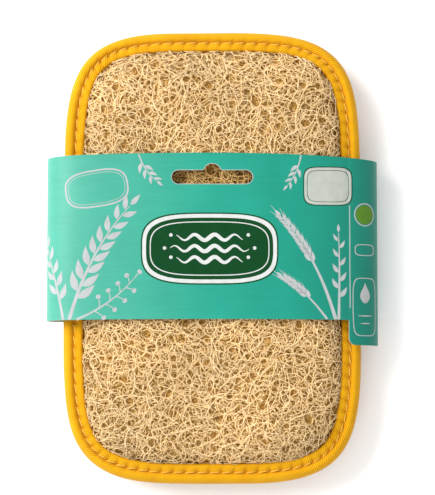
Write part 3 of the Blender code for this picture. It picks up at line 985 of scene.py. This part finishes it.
# Print on the card: plain plant and water ornaments, without words
class Print:
    """Flat shapes of one ink, drawn in millimetres on the unrolled front of the card."""

    STEP, LIFT = 0.8, 0.035

    def __init__(self, name):
        self.name = name
        self.points, self.quads, self.lifts, self.count = [], [], [], 0

    def add(self, points, quads, level):
        self.points.append(points)
        self.quads.append(quads + self.count)
        self.lifts.append(np.full(len(points), CARD + level * self.LIFT))
        self.count += len(points)

    def line(self, path, half_widths, level=1):
        """A stroke along a path, with its half widths spread evenly from end to end."""
        path = np.asarray(path, float)
        run = run_along(path)
        count = max(5, int(run[-1] / self.STEP) + 2)
        middle = points_at(path, run, np.linspace(0, run[-1], count))
        left = unit(left_of(np.gradient(middle, axis=0)))
        half = np.interp(np.linspace(0, 1, count), np.linspace(0, 1, len(half_widths)), half_widths)
        rows = 2 + int(2 * half.max() / self.STEP)
        spread = np.linspace(-1, 1, rows)[:, None, None]
        flat = middle + spread * half[:, None] * left
        self.add(flat.reshape(-1, 2), grid_quads(rows, count), level)

    def patch(self, centre, halves, power=2.0, turn=0.0, cells=6, level=1):
        """A filled round, or rounded box, of the given half sizes."""
        side = np.linspace(-1, 1, cells + 1)
        v, u = np.meshgrid(side, side, indexing="ij")
        x, y = u * np.sqrt(1 - v**2 / 2), v * np.sqrt(1 - u**2 / 2)
        bulge = rounded(np.arctan2(y, x), power)
        flat = np.stack([bulge * x, bulge * y], -1).reshape(-1, 2) * halves
        self.add(turned(flat, turn) + centre, grid_quads(cells + 1, cells + 1), level)

    def frame(self, centre, halves, width, power=2.0, turn=0.0, level=1):
        """An outline of the given width inside those half sizes."""
        count = max(24, int(4 * sum(halves) / self.STEP))
        a = np.linspace(0, 2 * math.pi, count, endpoint=False)
        loop = polar(rounded(a, power), a)
        rows = [turned(loop * (np.array(halves) - inset), turn) + centre for inset in (0.0, width)]
        self.add(np.vstack(rows), grid_quads(2, count, wrap=True), level)

    def make(self):
        """The ink's one closed piece, sunk a little into the card."""
        plan, quads = np.vstack(self.points), np.vstack(self.quads)
        lifts = np.concatenate(self.lifts)
        top, foot = on_band(plan[:, 0], plan[:, 1], (lifts, CARD - self.LIFT))
        verts, shell = closed_shell(top, foot, quads)
        material = ink_material(f"{self.name}_ink", *INKS[self.name])
        return make_mesh(f"print_{self.name}", verts, [shell], [material], smooth=False)


def rounded(angle, power):
    return (np.abs(np.cos(angle)) ** power + np.abs(np.sin(angle)) ** power) ** (-1 / power)


def turned(points, angle):
    c, s = math.cos(angle), math.sin(angle)
    return points @ np.array([[c, s], [-s, c]])


def traced(start, angles, length):
    """A path of this length from start, in equal steps along the angles."""
    return start + length / len(angles) * np.cumsum(polar(1.0, angles), axis=0)


def draw_sprig(ink, base, heading, bend, length, first, pairs, size, kind):
    """A stem with leaves, berries or grains in pairs, and one at its tip."""
    t = np.linspace(0, 1, STEM_STEPS)
    u = np.linspace(0, 1, LEAF_STEPS)
    angle = np.radians(heading + bend * t**1.2)
    stem = traced(base, angle, length)
    stem[0] = base
    ink.line(stem, np.linspace(0.012 * length + 0.15, 0.14, 8))
    for k in range(2 * pairs + 1):
        along = first + (0.99 - first) * k / (2 * pairs)
        i = min(STEM_STEPS - 1, int(STEM_STEPS * along))
        side = 0 if k == 2 * pairs else (1 if k % 2 else -1)
        scale = size * (1.05 - 0.4 * along)
        if kind == "berry":
            stalk = angle[i] + side * 0.85 + side * 0.5 * u
            path = traced(stem[i], stalk, scale)
            ink.line(path, (0.22, 0.15))
            ink.patch(path[-1], (0.85, 1.0), turn=stalk[-1])
            continue
        spread, fat, widths = (0.8, 0.17, LEAF) if kind == "leaf" else (0.42, 0.19, GRAIN)
        path = traced(stem[i], angle[i] + side * spread * (1 - 0.5 * u), scale)
        ink.line(path, fat * scale * np.array(widths))
        if kind == "grain":
            whisker = 0.7 * scale * np.linspace(0, 1, 5)[:, None] * unit(path[-1] - path[-3])
            ink.line(path[-1] + whisker, (0.12, 0.05))


def draw_plaque(pale, dark):
    """The dark plaque in its two frames, with three rows of waves between dots."""
    dark.patch(PLAQUE, PLAQUE_HALVES, PLAQUE_POWER, cells=36)
    for ink, grow, width, level in ((pale, 1.5, 1.55, 1), (dark, 2.0, 0.55, 1), (pale, -1.5, 0.4, 2)):
        ink.frame(PLAQUE, PLAQUE_HALVES + grow, width, PLAQUE_POWER, level=level)
    t = np.linspace(-1, 1, 60)
    for row in (-1, 0, 1):
        reach = 15.5 - 2.5 * abs(row)
        y = PLAQUE[1] + 4.4 * row + 1.15 * np.sin(t * reach * 0.8)
        pale.line(np.column_stack([PLAQUE[0] + reach * t, y]), (0.12, 0.62, 0.85, 0.62, 0.12), level=2)
        for end in (-1, 1):
            pale.patch((PLAQUE[0] + end * (reach + 2.2), y[0]), (0.7, 0.7), level=2)


def draw_strip(faint, olive):
    """The side strip: its rule, a disc, a pill shape, and a drop over two dashes in a frame."""
    rule = STRIP_X - 6.4
    faint.line([(rule, -21.0), (rule, 19.5)], (0.16, 0.16))
    olive.patch((STRIP_X, DISC_Y), (3.8, 3.8), cells=12)
    faint.frame((STRIP_X, DISC_Y), (4.6, 4.6), 0.45)
    faint.frame((STRIP_X, 2.0), (4.4, 2.3), 0.35, 4.0)
    faint.frame((STRIP_X, -20.5), (5.4, 11.5), 0.35, 5.0)
    drop = [(STRIP_X, -11.0), (STRIP_X, -19.0)]
    faint.line(drop, (0.05, 0.5, 1.1, 1.75, 2.15, 2.2, 1.75, 0.6))
    for half, y in ((3.2, -24.0), (2.2, -27.0)):
        faint.line([(STRIP_X - half, y), (STRIP_X + half, y)], (0.1, 0.3, 0.1))


def make_print():
    """The band's whole print, one thin piece for each ink."""
    prints = [Print(name) for name in INKS]
    pale, faint, dark, panel, olive = prints
    for sprig in SPRIGS:
        draw_sprig(faint, *sprig)
    edge = slot_outline()
    faint.line(np.vstack([edge, edge[:1]]) * [1.006, 1.0], (0.11, 0.11))
    faint.frame(TAG, TAG_HALVES, 0.65, TAG_POWER, TAG_TURN)
    faint.frame(TAG, TAG_HALVES - 1.3, 0.22, TAG_POWER, TAG_TURN)
    draw_plaque(pale, dark)
    panel.patch(LABEL, LABEL_HALVES, LABEL_POWER, cells=24)
    dark.frame(LABEL, LABEL_HALVES + 0.35, 0.4, LABEL_POWER)
    dark.frame(LABEL, LABEL_HALVES - 1.1, 0.18, LABEL_POWER, level=2)
    draw_strip(faint, olive)
    return [ink.make() for ink in prints]


# Stage, light and camera
def make_stage():
    bpy.ops.mesh.primitive_plane_add(size=FLOOR_SIZE, location=(0, 0, FLOOR_Z))
    floor = bpy.context.object
    floor.name = "floor"
    floor.data.materials.append(Nodes("floor", 0.6, Base_Color=(0.98, 0.98, 0.98, 1.0)).material)
    world = bpy.data.worlds.new("studio")
    bpy.context.scene.world = world
    world.use_nodes = True
    sky = world.node_tree.nodes["Background"].inputs
    sky["Color"].default_value = (1, 1, 1, 1)
    sky["Strength"].default_value = WORLD_STRENGTH
    for name, place, size, power in LAMPS:
        lamp = bpy.data.lights.new(name, "AREA")
        lamp.energy, lamp.size = power, size
        obj = bpy.data.objects.new(name, lamp)
        obj.location = place
        obj.rotation_euler = (-Vector(place)).to_track_quat("-Z", "Y").to_euler()
        bpy.context.scene.collection.objects.link(obj)


def make_camera():
    camera = bpy.data.cameras.new("camera")
    camera.sensor_fit = "VERTICAL"
    camera.sensor_height = SENSOR
    camera.lens = SENSOR * CAMERA_DISTANCE / FRAME_HEIGHT
    camera.clip_start = 0.01
    obj = bpy.data.objects.new("camera", camera)
    away = Vector((0, -math.sin(CAMERA_TILT), math.cos(CAMERA_TILT)))
    obj.location = VIEW_CENTRE + CAMERA_DISTANCE * away
    obj.rotation_euler = (CAMERA_TILT, 0, 0)
    bpy.context.scene.collection.objects.link(obj)
    bpy.context.scene.camera = obj


def attach(piece, slot, *nodes):
    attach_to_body(piece, "root")
    if nodes:
        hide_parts(*nodes)


def main():
    bpy.context.scene.view_settings.view_transform = "Standard"
    for piece in make_fibres(loofah_material("loofah_fibre", [])):
        attach(piece, "loofah")
    core = make_core(loofah_material("packed_fibre", PACKED_STRANDS))
    attach(core, "loofah", "loofah_pad")
    attach(make_binding(binding_material()), "binding", "edge_binding")
    attach(make_stitches(thread_material()), "binding")
    attach(make_band([card_material(), bare_card_material()]), "card", "card_band")
    for piece in make_print():
        attach(piece, "card")
    make_stage()
    make_camera()


main()
